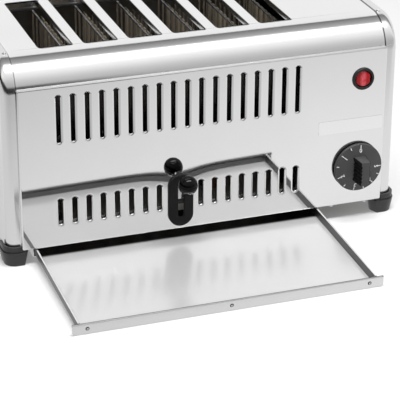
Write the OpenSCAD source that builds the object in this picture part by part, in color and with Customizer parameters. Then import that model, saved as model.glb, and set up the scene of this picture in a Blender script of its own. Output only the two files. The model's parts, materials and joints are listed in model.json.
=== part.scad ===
// Pop-up toaster for cafes and hotels: a folded steel casing with six toast slots,
// a sprung bread carriage worked by a lever, a timer dial, a rocker switch and a
// crumb tray that slides out under the front panel.
// Millimetres. +Z is up, the front faces -Y. The tray is drawn pulled out and the
// lever up; the origin lies on the table under the middle of the box round all that.

/* [Toasting chamber] */
// Distance between the middles of neighbouring toast slots
slot_pitch = 47; // [44:0.5:54]
// Width of a toast slot
slot_w = 35; // [30:0.5:38]
// Length of a toast slot, front to back
slot_l = 140; // [120:1:170]
// Corner radius of a toast slot
slot_r = 5; // [2:0.5:8]
// Depth of the turned-down edge round a toast slot
slot_lip = 6; // [3:0.5:8]
// Clear space for the bread between the guards of a slot
bread_gap = 26; // [22:0.5:29]
// Room between the toast slots' ends and the chamber's end walls
end_gap = 8; // [5:0.5:14]
// Room between the outermost heating cards and the chamber's side walls
side_room = 15.5; // [10:0.5:24]
// Room in front of and behind the chamber, where the carriage runs
service_gap = 27; // [25:0.5:36]
// Gap between the chamber walls and the top of the casing
top_gap = 14; // [11:0.5:20]
// Height of the chamber walls' lower edge above the casing's lower edge
wall_rise = 13; // [11:0.5:20]
// Height of a heating card
card_h = 120; // [90:1:130]
// Thickness of a heating card
card_t = 1.2; // [0.8:0.1:2]
// Thickness of a guard's wires
guard_t = 2; // [1.5:0.1:2.5]
// Height of a bread guard
guard_h = 140; // [110:1:150]

/* [Casing] */
// Height of the casing above the table
body_h = 219; // [212:1:245]
// Height of the casing's lower edge above the table
foot_h = 17; // [16:0.5:22]
// Radius of the rolled edges along the top
edge_r = 35; // [25:1:40]
// Thickness of the casing's steel sheet
sheet = 1; // [0.8:0.1:1.2]
// Reach of a drawn end cap past the panels
cap_w = 14; // [12:0.5:18]
// Radius of an end cap's drawn edge
cap_r = 9; // [6:0.5:10]
// Space between the chamber's left wall and the panels' left edge
left_room = 11.5; // [10:0.5:16]
// Width of the control bay at the right of the chamber
control_w = 69.5; // [66:0.5:90]
// How far the panels stand proud of the end caps
panel_proud = 4; // [3:0.5:6]
// How far the panels' upper edges lie below the top
seam_drop = 28; // [22:1:32]
// How far the cover's lower edges reach behind the panels
cover_tuck = 8; // [5:0.5:12]

/* [Vents] */
// Distance between vents
vent_pitch = 15; // [12:0.5:16]
// Number of vents in a row
vent_n = 18; // [14:2:18]
// Width of a vent
vent_w = 5.3; // [4:0.1:6.5]
// Height of an upper vent
upper_vent_h = 50; // [30:1:56]
// Height of a lower vent
lower_vent_h = 27.7; // [18:0.1:32]
// Space between the upper vents and the panel's upper edge
upper_vent_gap = 10; // [8:0.5:16]
// Space between the lower vents and the panel's lower edge
lower_vent_gap = 24; // [18:0.5:28]
// Depth of the drawn lip round a vent
vent_lip = 2; // [1.5:0.1:3]

/* [Lever and carriage] */
// Width of the lever's cover plate
lever_plate_w = 26.6; // [22:0.1:28]
// Height of the lever's cover plate
lever_plate_h = 58; // [54:0.5:60]
// Thickness of the lever's cover plate
lever_plate_t = 3; // [2:0.1:4]
// Height of the cover plate's middle above the panel's lower edge
lever_plate_z = 33; // [32:0.5:38]
// Width of the slot that the lever runs in
lever_slot_w = 6.6; // [6:0.1:9]
// Height of the slot that the lever runs in
lever_slot_h = 38.5; // [34:0.5:42]
// Diameter of the ball on the lever
ball_d = 20.2; // [16:0.1:25]
// Reach of the ball's middle in front of the panel
ball_reach = 24; // [20:0.5:32]
// Rise of the ball's middle above the lever's straight part
ball_rise = 10.3; // [4:0.1:14]
// Width of the lever's bar
arm_w = 5; // [4.9:0.1:5.4]
// Thickness of the lever's bar
arm_t = 3; // [2:0.1:4]
// Width of the shutter on the lever, which closes its slot from behind
shutter_w = 12; // [10:0.5:16]
// Diameter of the lever's round end inside the ball
arm_pin_d = 4.4; // [3.6:0.1:4.8]
// Height of the bread racks above the lever
rack_rise = 54; // [50:0.5:60]
// Width of a bread rack
rack_w = 20; // [14:0.5:21]
// Thickness of the carriage's bars and racks
rack_t = 3; // [2:0.1:4]
// Diameter of the carriage's guide rods
rod_d = 6; // [5:0.1:8]
// Middle diameter of a spring's curls
spring_d = 10.6; // [10:0.1:13]
// Diameter of a spring's wire
spring_wire = 1.2; // [0.8:0.1:1.6]
// Number of curls in a spring
spring_turns = 10; // [6:1:14]

/* [Controls] */
// Diameter of the timer dial
dial_d = 53.5; // [48:0.5:56]
// Thickness of the timer dial at its rim
dial_rim = 3.4; // [2.5:0.1:5]
// Rise of the dial from its rim to its hub
dial_rise = 3.2; // [2:0.1:6]
// Gap between the timer dial and the panel
dial_gap = 2; // [1.5:0.1:4]
// Width of the dial's grip
grip_w = 10.6; // [8:0.1:14]
// Length of the dial's grip
grip_l = 26.5; // [22:0.5:34]
// Reach of the grip in front of the dial's rim
grip_reach = 19; // [12:0.5:24]
// Distance of the dial's middle from the panel's right edge
dial_in = 29.7; // [29:0.1:34]
// Height of the dial's middle above the panel's lower edge
dial_z = 43.3; // [40:0.1:52]
// Diameter of the timer's shaft
shaft_d = 6; // [5:0.1:8]
// Width and height of the timer's case
timer_w = 46; // [40:1:48]
// Depth of the timer's case
timer_depth = 34; // [26:1:40]
// Length of the timer's shaft inside its case
shaft_in = 13.5; // [10:0.5:18]
// Diameter of the switch's bezel
switch_d = 24.2; // [22:0.1:26]
// Diameter of the switch's body behind the panel
switch_body_d = 20; // [19:0.1:20.8]
// Diameter of the rocker
rocker_d = 16.6; // [14:0.1:17]
// Distance of the switch's middle from the panel's right edge
switch_in = 26.6; // [24:0.1:32]
// Distance of the switch's middle below the panel's upper edge
switch_drop = 32; // [26:0.5:40]
// Angle that the rocker swings through
rocker_swing = 18; // [12:1:20]

/* [Crumb tray] */
// Distance that the tray is pulled out
tray_out = 157; // [120:1:165]
// Length of the tray, front to back
tray_l = 197; // [180:1:200]
// Height of the tray's walls
tray_wall_h = 10; // [8:0.5:10.5]
// Thickness of the folded hem on the tray's walls
tray_hem = 2.4; // [2.2:0.1:3.5]
// Height of the folded hem
tray_hem_h = 7; // [4:0.5:7.5]
// Height of the tray's front plate
tray_front_h = 11.4; // [10:0.1:12]
// Thickness of the tray's front plate
tray_front_t = 1.2; // [1:0.1:2]
// Overhang of the front plate past each side of the tray
tray_front_over = 6; // [3:0.5:8]
// Gap between the tray and the panel above it
tray_head_gap = 0.6; // [0.4:0.1:1.5]
// Gap between the pulled-out tray and the table
tray_table_gap = 0.3; // [0.2:0.1:1]
// Width of the runner's ledge under the tray
runner_ledge = 6.5; // [4:0.5:9]
// Height of a runner above the tray
runner_rise = 6; // [4:0.5:7]

/* [Feet] */
// Length of a foot along the casing's ends
foot_l = 21; // [16:0.5:30]
// Reach of a foot under the panels, in from their ends
foot_in = 5; // [3:0.5:8]
// How far a foot stands out from the end cap
foot_out = 5; // [4:0.1:6]
// How much a foot narrows towards the table
foot_taper = 2.5; // [1:0.1:3]
// Height of the neck between a foot's body and the casing
foot_neck = 2; // [1:0.1:4]
// Height of the foot's cup above the casing's lower edge
foot_cup_h = 4.5; // [3:0.1:8]
// Gap between the foot's cup and the end cap
foot_cup_gap = 1.2; // [0.5:0.1:1.6]

/* [Fits] */
// Gap between parts that slide on each other
slide_gap = 0.5; // [0.3:0.05:0.6]
// Gap under a part that rests on its runner
rest_gap = 0.3; // [0.2:0.05:0.4]
// Radial gap of a turning shaft
shaft_gap = 0.05; // [0.03:0.01:0.1]

/* [Hidden] */
$fn = 64;
slot_n = 6;
slots = [1:slot_n];
cards = [1:slot_n + 1];

// Plan of the casing, worked out from the chamber
chamber_half_w = slot_n * slot_pitch / 2 + side_room;
chamber_half_d = slot_l / 2 + end_gap;
panel_half = (left_room + 2 * (chamber_half_w + sheet) + control_w) / 2;
body_half_l = panel_half + cap_w;
body_half_d = chamber_half_d + sheet + service_gap;
row_x = -panel_half + left_room + sheet + chamber_half_w;
face_y = body_half_d + panel_proud;
cover_half = body_half_l - cap_r;

// Heights
panel_top = body_h - seam_drop;
panel_h = panel_top - foot_h;
base_z = foot_h + sheet;
floor_z = base_z + sheet;
wall_z = foot_h + wall_rise;
chamber_top = body_h - top_gap;
upper_vent_z = panel_top - upper_vent_gap - upper_vent_h;
lower_vent_z = foot_h + lower_vent_gap;

// Lever and carriage
plate_z = foot_h + lever_plate_z;
slot_end_r = lever_slot_w / 2;
arm_end_gap = slot_end_r - sqrt(pow(slot_end_r, 2) - pow(arm_w / 2, 2)) + slide_gap;
arm_z = plate_z + lever_slot_h / 2 - arm_end_gap - arm_t / 2;
travel = lever_slot_h - arm_t - 2 * arm_end_gap - slide_gap;
shutter_y = sheet - face_y + slide_gap;
shutter_low = base_z + travel + slide_gap;
shutter_high = arm_z + arm_t;
carriage_y = -chamber_half_d - sheet - 6;
rack_z = arm_z + rack_rise;
bar_h = 14;
rod_x = slot_n * slot_pitch / 2 - 13;
rod_y = carriage_y - rack_t - 5;
lug_t = 3;
low_lug_z = wall_z + 10;
high_lug_z = chamber_top - 8;
carriage_lug_z = rack_z - bar_h + 4;
lug_half = rod_d / 2 + 3.5;
bend_y = -face_y - lever_plate_t - 3;
ball_y = -face_y - ball_reach;
arm_slope = atan2(ball_rise, bend_y - ball_y);
magnet_off = 30;
magnet_x = row_x + magnet_off;
magnet_w = 24;
magnet_h = 18;
magnet_deep = 20;
armature_t = 4;

// Controls
dial_x = panel_half - dial_in;
dial_mid = foot_h + dial_z;
switch_x = panel_half - switch_in;
switch_z = panel_top - switch_drop;
neck_d = shaft_d + 4;
tab_room = 2;
rocker_deep = 7;
pocket_d = rocker_d + 2;
pivot_d = 2;
pivot_deep = 1.5;

// Mains entry and fasteners
gland_d = 16;
gland_bore = 9;
gland_reach = 13;
gland_flange = 4;
gland_tail = 12;
block_w = 30;
block_d = 20;
block_h = 16;
block_way = 10;
screw_in = [17.5, 56];
rivet_head = 0.8;

// Crumb tray, laid along its own slope down to the table
tray_w = 2 * (chamber_half_w - sheet - slide_gap);
tray_top = foot_h - tray_head_gap;
tray_slope = asin((tray_top - tray_front_h - tray_table_gap) / tray_out);
tray_back = tray_l - tray_out;
base_strip = 18;
rivet_d = 4;
rivet_in = 15;
tray_roll = 1.4;

// The pieces are drawn round the casing's middle and then moved to the origin
front_end = -face_y - (tray_out + rivet_head) * cos(tray_slope)
    - (tray_front_h / 2 + rivet_d / 2) * -sin(tray_slope);
rear_end = face_y + gland_reach;
origin_y = -(front_end + rear_end) / 2;

// Springs: one tube wound on a helix round each guide rod
spring_low = low_lug_z + lug_t + spring_wire / 2 + 0.05;
spring_high = carriage_lug_z - spring_wire / 2 - 0.05;
spring_rings = 8 * spring_turns;
spring_path = [for (i = [0:spring_rings]) let (a = 360 * i / 8)
    [spring_d / 2 * cos(a), spring_d / 2 * sin(a),
     spring_low + (spring_high - spring_low) * i / spring_rings]];
spring_self_gap = min([for (i = [0:spring_rings]) for (j = [i + 5:1:spring_rings])
    norm(spring_path[i] - spring_path[j])]) - spring_wire;
echo(str("least gap of a spring to itself: ", spring_self_gap, " mm"));

function slot_x(i) = row_x + (i - (slot_n + 1) / 2) * slot_pitch;
function card_x(i) = row_x + (i - slot_n / 2 - 1) * slot_pitch;

module placed() {
    translate([0, origin_y, 0]) children();
}

// Extrudes a (Y, Z) outline from x0 to x1
module along_x(x0, x1) {
    translate([x0, 0, 0]) rotate([90, 0, 90]) linear_extrude(x1 - x0) children();
}

// Extrudes an (X, Z) outline from y0 back to y1
module along_y(y0, y1) {
    translate([0, y1, 0]) rotate([90, 0, 0]) linear_extrude(y1 - y0) children();
}

// Turns a piece so that its own +Z points out of the front panel
module on_front(x, z) {
    translate([x, -face_y, z]) rotate([90, 0, 0]) children();
}

// Lays a piece in the tray's frame: +Y runs into the casing along the slope
module on_slope() {
    translate([row_x, -face_y, tray_top]) rotate([tray_slope, 0, 0]) children();
}

module round_rect(w, l, r) {
    square([w, l - 2 * r], center = true);
    square([w - 2 * r, l], center = true);
    for (x = [-1, 1]) for (y = [-1, 1]) translate([x * (w / 2 - r), y * (l / 2 - r)]) circle(r);
}

// A slot with round ends, w wide and h high, standing on z
module stadium(x, z, w, h) {
    translate([x - w / 2, z + w / 2]) square([w, h - w]);
    for (s = [0, 1]) translate([x, z + w / 2 + s * (h - w)]) circle(w / 2);
}

// The half of a disc on the +X side
module half_disc(r) {
    intersection() {
        circle(r);
        translate([0, -r]) square([r, 2 * r]);
    }
}

// Outline of the casing seen from its end, with rolled upper edges
module casing_outline(d, h, r, low) {
    translate([-d, low]) square([2 * d, h - r - low]);
    translate([r - d, low]) square([2 * (d - r), h - low]);
    for (s = [0, 1]) translate([(1 - 2 * s) * (d - r), h - r]) intersection() {
        circle(r);
        translate([-s * r, 0]) square([r, r]);
    }
}

// Both rows of vents; the lower row leaves room for the lever where gap is set
module vent_rows(grow, gap) {
    for (i = [0:vent_n - 1]) let (x = row_x + (i - (vent_n - 1) / 2) * vent_pitch) {
        stadium(x, upper_vent_z - grow, vent_w + 2 * grow, upper_vent_h + 2 * grow);
        if (abs(x - row_x) > gap)
            stadium(x, lower_vent_z - grow, vent_w + 2 * grow, lower_vent_h + 2 * grow);
    }
}

// A panel folded back along all four edges, with lipped vents
module folded_panel(gap) {
    depth = panel_proud + sheet;
    difference() {
        union() {
            difference() {
                translate([-panel_half, -face_y, foot_h]) cube([2 * panel_half, depth, panel_h]);
                translate([sheet - panel_half, sheet - face_y, base_z])
                    cube([2 * (panel_half - sheet), depth, panel_h - 2 * sheet]);
            }
            along_y(sheet / 2 - face_y, sheet + vent_lip - face_y) vent_rows(sheet, gap);
        }
        along_y(-1 - face_y, depth + 1 - face_y) vent_rows(0, gap);
    }
}

// The drawn form of the right end cap, taken in by o on every side
module drawn_cap(o) {
    d = body_half_d - o;
    h = body_h - o;
    r = edge_r - o;
    f = cap_r - o;
    x0 = panel_half - (o > 0 ? 1 : 0);
    x1 = body_half_l - o;
    low = foot_h - (o > 0 ? 1 : 0);
    along_x(x0, x1 - f) casing_outline(d, h, r, low);
    along_x(x0, x1) casing_outline(d - f, h - f, r - f, low);
    along_y(r - d, d - r) translate([x1 - f, h - f]) half_disc(f);
    for (s = [-1, 1]) translate([x1 - f, s * (d - f), low])
        linear_extrude(h - r - low) half_disc(f);
    for (s = [0, 1]) translate([x1 - f, (1 - 2 * s) * (d - r), h - r]) rotate([90, 0, 90])
        rotate([0, 0, 90 * s]) rotate_extrude(angle = 90) translate([r - f, 0]) rotate(90) half_disc(f);
}

module end_cap() {
    difference() {
        drawn_cap(0);
        drawn_cap(sheet);
    }
}

module base_plate() {
    color("silver") difference() {
        translate([sheet - panel_half, sheet - face_y, base_z])
            cube([2 * (panel_half - sheet), 2 * (face_y - sheet), sheet]);
        translate([row_x - chamber_half_w, -face_y, base_z - 1])
            cube([2 * chamber_half_w, 2 * face_y - base_strip, sheet + 2]);
    }
}

module front_panel() {
    color("gainsboro") difference() {
        folded_panel(vent_pitch);
        along_y(-face_y - 1, sheet - face_y + 1)
            stadium(row_x, plate_z - lever_slot_h / 2 - 3, lever_slot_w + 4, lever_slot_h + 6);
        on_front(dial_x, dial_mid) translate([0, 0, -2]) cylinder(d = neck_d + 0.4, h = 3);
        on_front(switch_x, switch_z) translate([0, 0, -2]) cylinder(d = switch_body_d + 0.4, h = 3);
    }
}

module rear_panel() {
    color("gainsboro") difference() {
        mirror([0, 1, 0]) folded_panel(0);
        translate([dial_x, face_y - sheet - 1, dial_mid]) rotate([-90, 0, 0])
            cylinder(d = gland_d + 0.4, h = sheet + 2);
    }
}

module top_cover() {
    d = body_half_d - sheet;
    h = body_h - sheet;
    r = edge_r - sheet;
    low = panel_top - cover_tuck;
    color("gainsboro") difference() {
        union() {
            along_x(-cover_half, cover_half) difference() {
                casing_outline(d, h, r, low);
                casing_outline(d - sheet, h - sheet, r - sheet, low - 1);
            }
            for (i = slots) translate([slot_x(i), 0, h - sheet - slot_lip])
                linear_extrude(slot_lip + sheet / 2)
                    round_rect(slot_w + 2 * sheet, slot_l + 2 * sheet, slot_r + sheet);
        }
        for (i = slots) translate([slot_x(i), 0, h - 2 * sheet - slot_lip])
            linear_extrude(slot_lip + 4 * sheet) round_rect(slot_w, slot_l, slot_r);
    }
}

module left_end_cap() {
    color("lightgray") mirror([1, 0, 0]) end_cap();
}

module right_end_cap() {
    color("lightgray") end_cap();
}

// Plan of a foot at the front right corner: outer edges out by o, inner edges in by n
module foot_plan(o, n) {
    x0 = panel_half - foot_in + n;
    x1 = body_half_l + o;
    y0 = -body_half_d - o;
    y1 = foot_l - body_half_d - n;
    r = cap_r + o;
    translate([x0, y0]) square([x1 - r - x0, y1 - y0]);
    translate([x0, y0 + r]) square([x1 - x0, y1 - y0 - r]);
    translate([x1 - r, y0 + r]) circle(r);
}

module corner_foot() {
    lip = foot_out - 1;
    neck = foot_out - 1.5;
    body_top = foot_h - foot_neck;
    color("#202022") {
        hull() {
            linear_extrude(0.5) foot_plan(foot_out - foot_taper, foot_taper, $fn = 32);
            translate([0, 0, body_top - 0.5]) linear_extrude(0.5) foot_plan(foot_out, 0, $fn = 32);
        }
        translate([0, 0, body_top - 0.2]) linear_extrude(foot_neck + 0.2) foot_plan(neck, 1);
        translate([0, 0, foot_h - 0.2]) linear_extrude(foot_cup_h + 0.2) difference() {
            foot_plan(lip, 1);
            translate([0, -body_half_d - foot_cup_gap])
                square([body_half_l - cap_r, body_half_d]);
            translate([0, cap_r - body_half_d])
                square([body_half_l + foot_cup_gap, body_half_d]);
            translate([body_half_l - cap_r, cap_r - body_half_d]) circle(cap_r + foot_cup_gap);
            translate([0, -face_y - 1]) square([panel_half + rest_gap, face_y]);
        }
    }
}

module front_right_foot() {
    corner_foot();
}

module front_left_foot() {
    mirror([1, 0, 0]) corner_foot();
}

module rear_right_foot() {
    mirror([0, 1, 0]) corner_foot();
}

module rear_left_foot() {
    mirror([1, 0, 0]) mirror([0, 1, 0]) corner_foot();
}

module lever_plate() {
    color("#1a1a1c") along_y(-face_y - lever_plate_t, -face_y) difference() {
        stadium(row_x, plate_z - lever_plate_h / 2, lever_plate_w, lever_plate_h);
        stadium(row_x, plate_z - lever_slot_h / 2, lever_slot_w, lever_slot_h);
    }
}

// A side wall of the chamber, standing on the base
module chamber_side(x) {
    reach = chamber_half_d + sheet;
    color("darkgray") translate([x, -reach, floor_z]) cube([sheet, 2 * reach, chamber_top - floor_z]);
}

module left_chamber_wall() {
    chamber_side(row_x - chamber_half_w - sheet);
}

module right_chamber_wall() {
    chamber_side(row_x + chamber_half_w);
}

// An end wall of the chamber, slotted for the racks' tabs
module chamber_end(y) {
    along_y(y, y + sheet) difference() {
        translate([row_x - chamber_half_w, wall_z])
            square([2 * chamber_half_w, chamber_top - wall_z]);
        for (i = slots) stadium(slot_x(i), rack_z - travel - bar_h, rack_t + 2 * tab_room,
            travel + bar_h + 3 * tab_room);
    }
}

// A lug on each guide rod, reaching back to y_back, with a gap round the rod
module rod_lug(z, y_back, gap) {
    for (s = [-1, 1]) translate([row_x + s * rod_x, rod_y, z]) difference() {
        union() {
            cylinder(r = lug_half, h = lug_t);
            translate([-lug_half, 0, 0]) cube([2 * lug_half, y_back - rod_y, lug_t]);
        }
        translate([0, 0, -1]) cylinder(d = rod_d + 2 * gap, h = lug_t + 2);
    }
}

module front_chamber_wall() {
    color("darkgray") {
        chamber_end(-chamber_half_d - sheet);
        rod_lug(low_lug_z, -chamber_half_d - sheet / 2, shaft_gap);
        rod_lug(high_lug_z, -chamber_half_d - sheet / 2, shaft_gap);
    }
}

module rear_chamber_wall() {
    color("darkgray") chamber_end(chamber_half_d);
}

module heating_card(i) {
    top = chamber_top - 8;
    color("#b8a888") along_x(card_x(i) - card_t / 2, card_x(i) + card_t / 2)
        translate([-chamber_half_d, top - card_h]) difference() {
            square([2 * chamber_half_d, card_h]);
            for (y = [8:12:2 * chamber_half_d - 8]) for (z = [0, card_h])
                translate([y, z]) square([5, 6], center = true);
        }
}

// The pair of wire guards that hold a slice away from the cards
module bread_guard(i) {
    bars = 10;
    step = (2 * chamber_half_d - guard_t) / bars;
    color("silver") for (s = [-1, 1])
        translate([slot_x(i) + s * (bread_gap / 2 + guard_t / 2) - guard_t / 2, 0, 0])
            along_x(0, guard_t) translate([-chamber_half_d, chamber_top - guard_h]) difference() {
                square([2 * chamber_half_d, guard_h]);
                for (k = [0:bars - 1]) for (row = [0, 1])
                    translate([guard_t + k * step, guard_t + row * (guard_h - guard_t) / 2])
                        square([step - guard_t, (guard_h - 3 * guard_t) / 2]);
            }
}

// A runner for the tray: a web against the chamber wall and a ledge under the tray
module tray_runner() {
    start = panel_proud + sheet + 1;
    under = -tray_wall_h - rest_gap;
    back = 2 * face_y - base_strip - 6;
    translate([-tray_w / 2 - slide_gap - sheet, start, under - sheet])
        cube([sheet, back - start, runner_rise + sheet - under]);
    translate([-tray_w / 2 - slide_gap - sheet, start, under - sheet])
        cube([runner_ledge, back - start, sheet]);
}

module left_tray_runner() {
    color("silver") on_slope() tray_runner();
}

module right_tray_runner() {
    color("silver") on_slope() mirror([1, 0, 0]) tray_runner();
}

module guide_rod(s) {
    color("lightgray") translate([row_x + s * rod_x, rod_y, low_lug_z - 3])
        cylinder(d = rod_d, h = high_lug_z + lug_t - low_lug_z + 6);
}

module left_guide_rod() {
    guide_rod(-1);
}

module right_guide_rod() {
    guide_rod(1);
}

// The tube's six-sided ring at point i of the spring's path
function spring_ring(i) = let (
    a = 360 * i / 8,
    rise = (spring_high - spring_low) / spring_turns,
    tilt = atan2(rise, PI * spring_d),
    out = [cos(a), sin(a), 0],
    up = [sin(tilt) * sin(a), -sin(tilt) * cos(a), cos(tilt)])
    [for (k = [0:5]) spring_path[i] + spring_wire / 2 * (cos(60 * k) * out + sin(60 * k) * up)];

module spring(s) {
    points = [for (i = [0:spring_rings]) each spring_ring(i)];
    sides = [for (i = [0:spring_rings - 1]) for (k = [0:5]) let (
        a = 6 * i + k,
        b = 6 * i + (k + 1) % 6) each [[a, a + 6, b], [b, a + 6, b + 6]]];
    last = 6 * spring_rings;
    ends = [for (k = [1:4]) each [[0, k, k + 1], [last, last + k + 1, last + k]]];
    color("gray") translate([row_x + s * rod_x, rod_y, 0])
        polyhedron(points, concat(sides, ends), convexity = 10);
}

module left_spring() {
    spring(-1);
}

module right_spring() {
    spring(1);
}

// Coil and core that hold the carriage down while the timer runs
module hold_magnet() {
    top = rack_z - bar_h - armature_t - travel - rest_gap;
    color("#8a4b2a") translate([magnet_x, -chamber_half_d - sheet - magnet_deep, top - magnet_h])
        cube([magnet_w, magnet_deep, magnet_h]);
}

module armature() {
    deep = magnet_deep - 6;
    color("gray") translate([magnet_x, carriage_y - rack_t - deep, rack_z - bar_h - armature_t])
        cube([magnet_w, deep, armature_t]);
}

module timer_case() {
    bore = 2 * (shaft_d / 2 + shaft_gap);
    color("#d8d4c8") on_front(dial_x, dial_mid) difference() {
        union() {
            translate([0, 0, -sheet - timer_depth]) linear_extrude(timer_depth)
                round_rect(timer_w, timer_w, 5);
            translate([0, 0, -sheet - 1]) cylinder(d = neck_d, h = sheet + 1 + dial_gap / 2);
        }
        translate([0, 0, -sheet - shaft_in - rest_gap])
            cylinder(d = bore, h = sheet + shaft_in + rest_gap + dial_gap);
    }
}

module timer_shaft() {
    color("silver") on_front(dial_x, dial_mid) translate([0, 0, -sheet - shaft_in])
        cylinder(d = shaft_d, h = sheet + shaft_in + dial_gap + dial_rim + dial_rise);
}

module timer_dial() {
    hub_r = grip_l / 2 + 1;
    color("#19191b") on_front(dial_x, dial_mid) translate([0, 0, dial_gap]) difference() {
        union() {
            rotate_extrude() polygon([[0, 0], [dial_d / 2, 0], [dial_d / 2, dial_rim - 1],
                [dial_d / 2 - 1, dial_rim], [hub_r, dial_rim + dial_rise / 2],
                [hub_r - 3, dial_rim + dial_rise], [0, dial_rim + dial_rise]]);
            translate([0, 0, dial_rim]) linear_extrude(grip_reach) round_rect(grip_w, grip_l, 2.5);
        }
        for (s = [-1, 1]) for (k = [-2:2]) translate([s * (grip_w / 2 + 0.5), k * grip_l / 6.5,
            dial_rim + dial_rise]) cylinder(r = 1.3, h = grip_reach);
        translate([0, 0, -1]) cylinder(d = shaft_d, h = dial_rim + dial_rise + 1);
    }
}

module switch_housing() {
    r = switch_d / 2;
    p = pocket_d / 2;
    deep = 22;
    color("#1c1c1e") on_front(switch_x, switch_z) difference() {
        union() {
            rotate_extrude() polygon([[p, 0], [r, 0], [r, 1.2], [r - 1, 2.2], [p + 0.6, 2.2], [p, 1.6]]);
            translate([0, 0, -deep]) cylinder(d = switch_body_d, h = deep + 0.5);
            for (x = [-5, 0, 5]) translate([x - 0.4, -3, -deep - 8]) cube([0.8, 6, 9]);
        }
        translate([0, 0, -rocker_deep - 1.5]) cylinder(d = pocket_d, h = rocker_deep + 5);
        translate([0, 0, -pivot_deep]) rotate([90, 0, 0])
            cylinder(d = pivot_d + 2 * shaft_gap, h = pocket_d + 1, center = true);
    }
}

// The rocker lies over to the left: its left half is down, its right half stands up
module switch_rocker() {
    half = rocker_swing / 2;
    r = rocker_d / 2;
    rise = r * tan(half);
    color("#c8141e") on_front(switch_x, switch_z) translate([0, 0, -pivot_deep]) {
        rotate([0, -half, 0]) intersection() {
            translate([0, 0, -4]) cylinder(r = r, h = 10);
            rotate([90, 0, 0]) linear_extrude(2 * r, center = true)
                polygon([[-r, -3], [r, -3], [r, 1.6 + rise], [0, 1.6], [-r, 1.6 + rise]]);
        }
        rotate([90, 0, 0]) cylinder(d = pivot_d, h = pocket_d + 0.8, center = true);
    }
}

module terminal_block() {
    color("#e8e4d8") translate([dial_x - block_w / 2, chamber_half_d - block_w, floor_z]) difference() {
        cube([block_w, block_d, block_h]);
        for (x = [block_way / 2:block_way:block_w]) for (y = [block_way / 2:block_way:block_d])
            translate([x, y, block_h / 2]) cylinder(d = block_way / 2, h = block_h);
    }
}

module gland_ring(profile) {
    translate([dial_x, face_y, dial_mid]) rotate([-90, 0, 0]) rotate_extrude() polygon(profile);
}

module cable_gland() {
    b = gland_bore / 2;
    g = gland_d / 2;
    f = g + gland_flange;
    color("#1c1c1e") gland_ring([[b, -gland_tail], [g, -gland_tail], [g, 0], [f, 0], [f, 4], [f - 2, 5],
        [g, gland_reach - 2], [b + 1, gland_reach], [b, gland_reach]]);
}

module gland_nut() {
    g = gland_d / 2;
    f = g + gland_flange;
    color("#1c1c1e") gland_ring([[g, -sheet - 5], [f, -sheet - 5], [f, -sheet], [g, -sheet]]);
}

// Screws up through the panels' lower edges into the base
module panel_screws() {
    color("silver") for (s = [-1, 1]) for (in = screw_in)
        translate([panel_half - in, s * (face_y - 3.4), foot_h]) {
            translate([0, 0, -1.6]) cylinder(d = 5, h = 1.6);
            cylinder(d = 2.6, h = 6);
        }
}

// Screws through the end caps' rims
module cap_screws() {
    color("silver") for (x = [-1, 1]) for (y = [-1, 1])
        translate([x * (panel_half + 2.6), y * (body_half_d - edge_r + 4), body_h]) {
            cylinder(d = 4, h = 0.8);
            translate([0, 0, -6]) cylinder(d = 2.4, h = 6);
        }
}

// The lever's bar, bent up towards the ball, with a round end and the slot's shutter
module lever_arm() {
    low = arm_z - arm_t / 2;
    slope_l = norm([ball_rise, bend_y - ball_y]) - ball_d / 2 + 2;
    mitre = arm_t / 2 * tan(arm_slope / 2);
    color("silver") {
        along_x(row_x - arm_w / 2, row_x + arm_w / 2) polygon([
            [carriage_y - rack_t, low], [carriage_y - rack_t, low + arm_t],
            [bend_y + mitre, low + arm_t], for (u = [1, -1])
                [bend_y - slope_l * cos(arm_slope) + u * arm_t / 2 * sin(arm_slope),
                 arm_z + slope_l * sin(arm_slope) + u * arm_t / 2 * cos(arm_slope)],
            [bend_y - mitre, low]]);
        translate([row_x, bend_y, arm_z]) rotate([90 - arm_slope, 0, 0])
            translate([0, 0, slope_l - 1]) cylinder(d = arm_pin_d, h = ball_d / 2 - 2);
        translate([row_x - shutter_w / 2, shutter_y, shutter_low])
            cube([shutter_w, sheet, shutter_high - shutter_low]);
    }
}

module ball_knob() {
    color("#151517") translate([row_x, ball_y, arm_z + ball_rise]) difference() {
        sphere(d = ball_d);
        rotate([90 - arm_slope, 0, 0]) translate([0, 0, -ball_d])
            cylinder(d = arm_pin_d + 2 * shaft_gap, h = ball_d + ball_d / 4);
        rotate([90 - arm_slope, 0, 0]) translate([0, 0, -ball_d - ball_d / 2 + 2.4])
            cylinder(d = ball_d, h = ball_d);
    }
}

// The carriage's front plate: a bar along the racks with a stem down to the lever
module carriage_plate() {
    reach = rod_x + lug_half;
    stem = 9;
    low = arm_z - arm_t / 2 - 5;
    color("silver") {
        along_y(carriage_y - rack_t, carriage_y) {
            translate([row_x - reach, rack_z - bar_h]) square([2 * reach, bar_h]);
            translate([row_x - stem, low]) square([2 * stem, rack_z - low]);
            translate([row_x, rack_z - bar_h - armature_t])
                square([magnet_x + magnet_w - row_x, 2 * armature_t]);
        }
        rod_lug(carriage_lug_z, carriage_y - rack_t / 2, rest_gap);
    }
}

// A rack that carries one slice, with tabs through the chamber's end walls
module bread_rack(i) {
    reach = chamber_half_d - 1;
    color("silver") translate([slot_x(i), 0, rack_z]) {
        translate([0, 0, -rack_t / 2]) linear_extrude(rack_t / 2) difference() {
            translate([-rack_w / 2, -reach]) square([rack_w, 2 * reach]);
            for (k = [-3:3]) translate([0, k * reach / 3.8]) square([rack_w - 6, reach / 6], center = true);
        }
        along_x(-rack_t / 2, rack_t / 2) translate([carriage_y, -bar_h + 3])
            square([chamber_half_d + sheet + 5 - carriage_y, bar_h - 3 - rack_t / 4]);
    }
}

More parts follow.
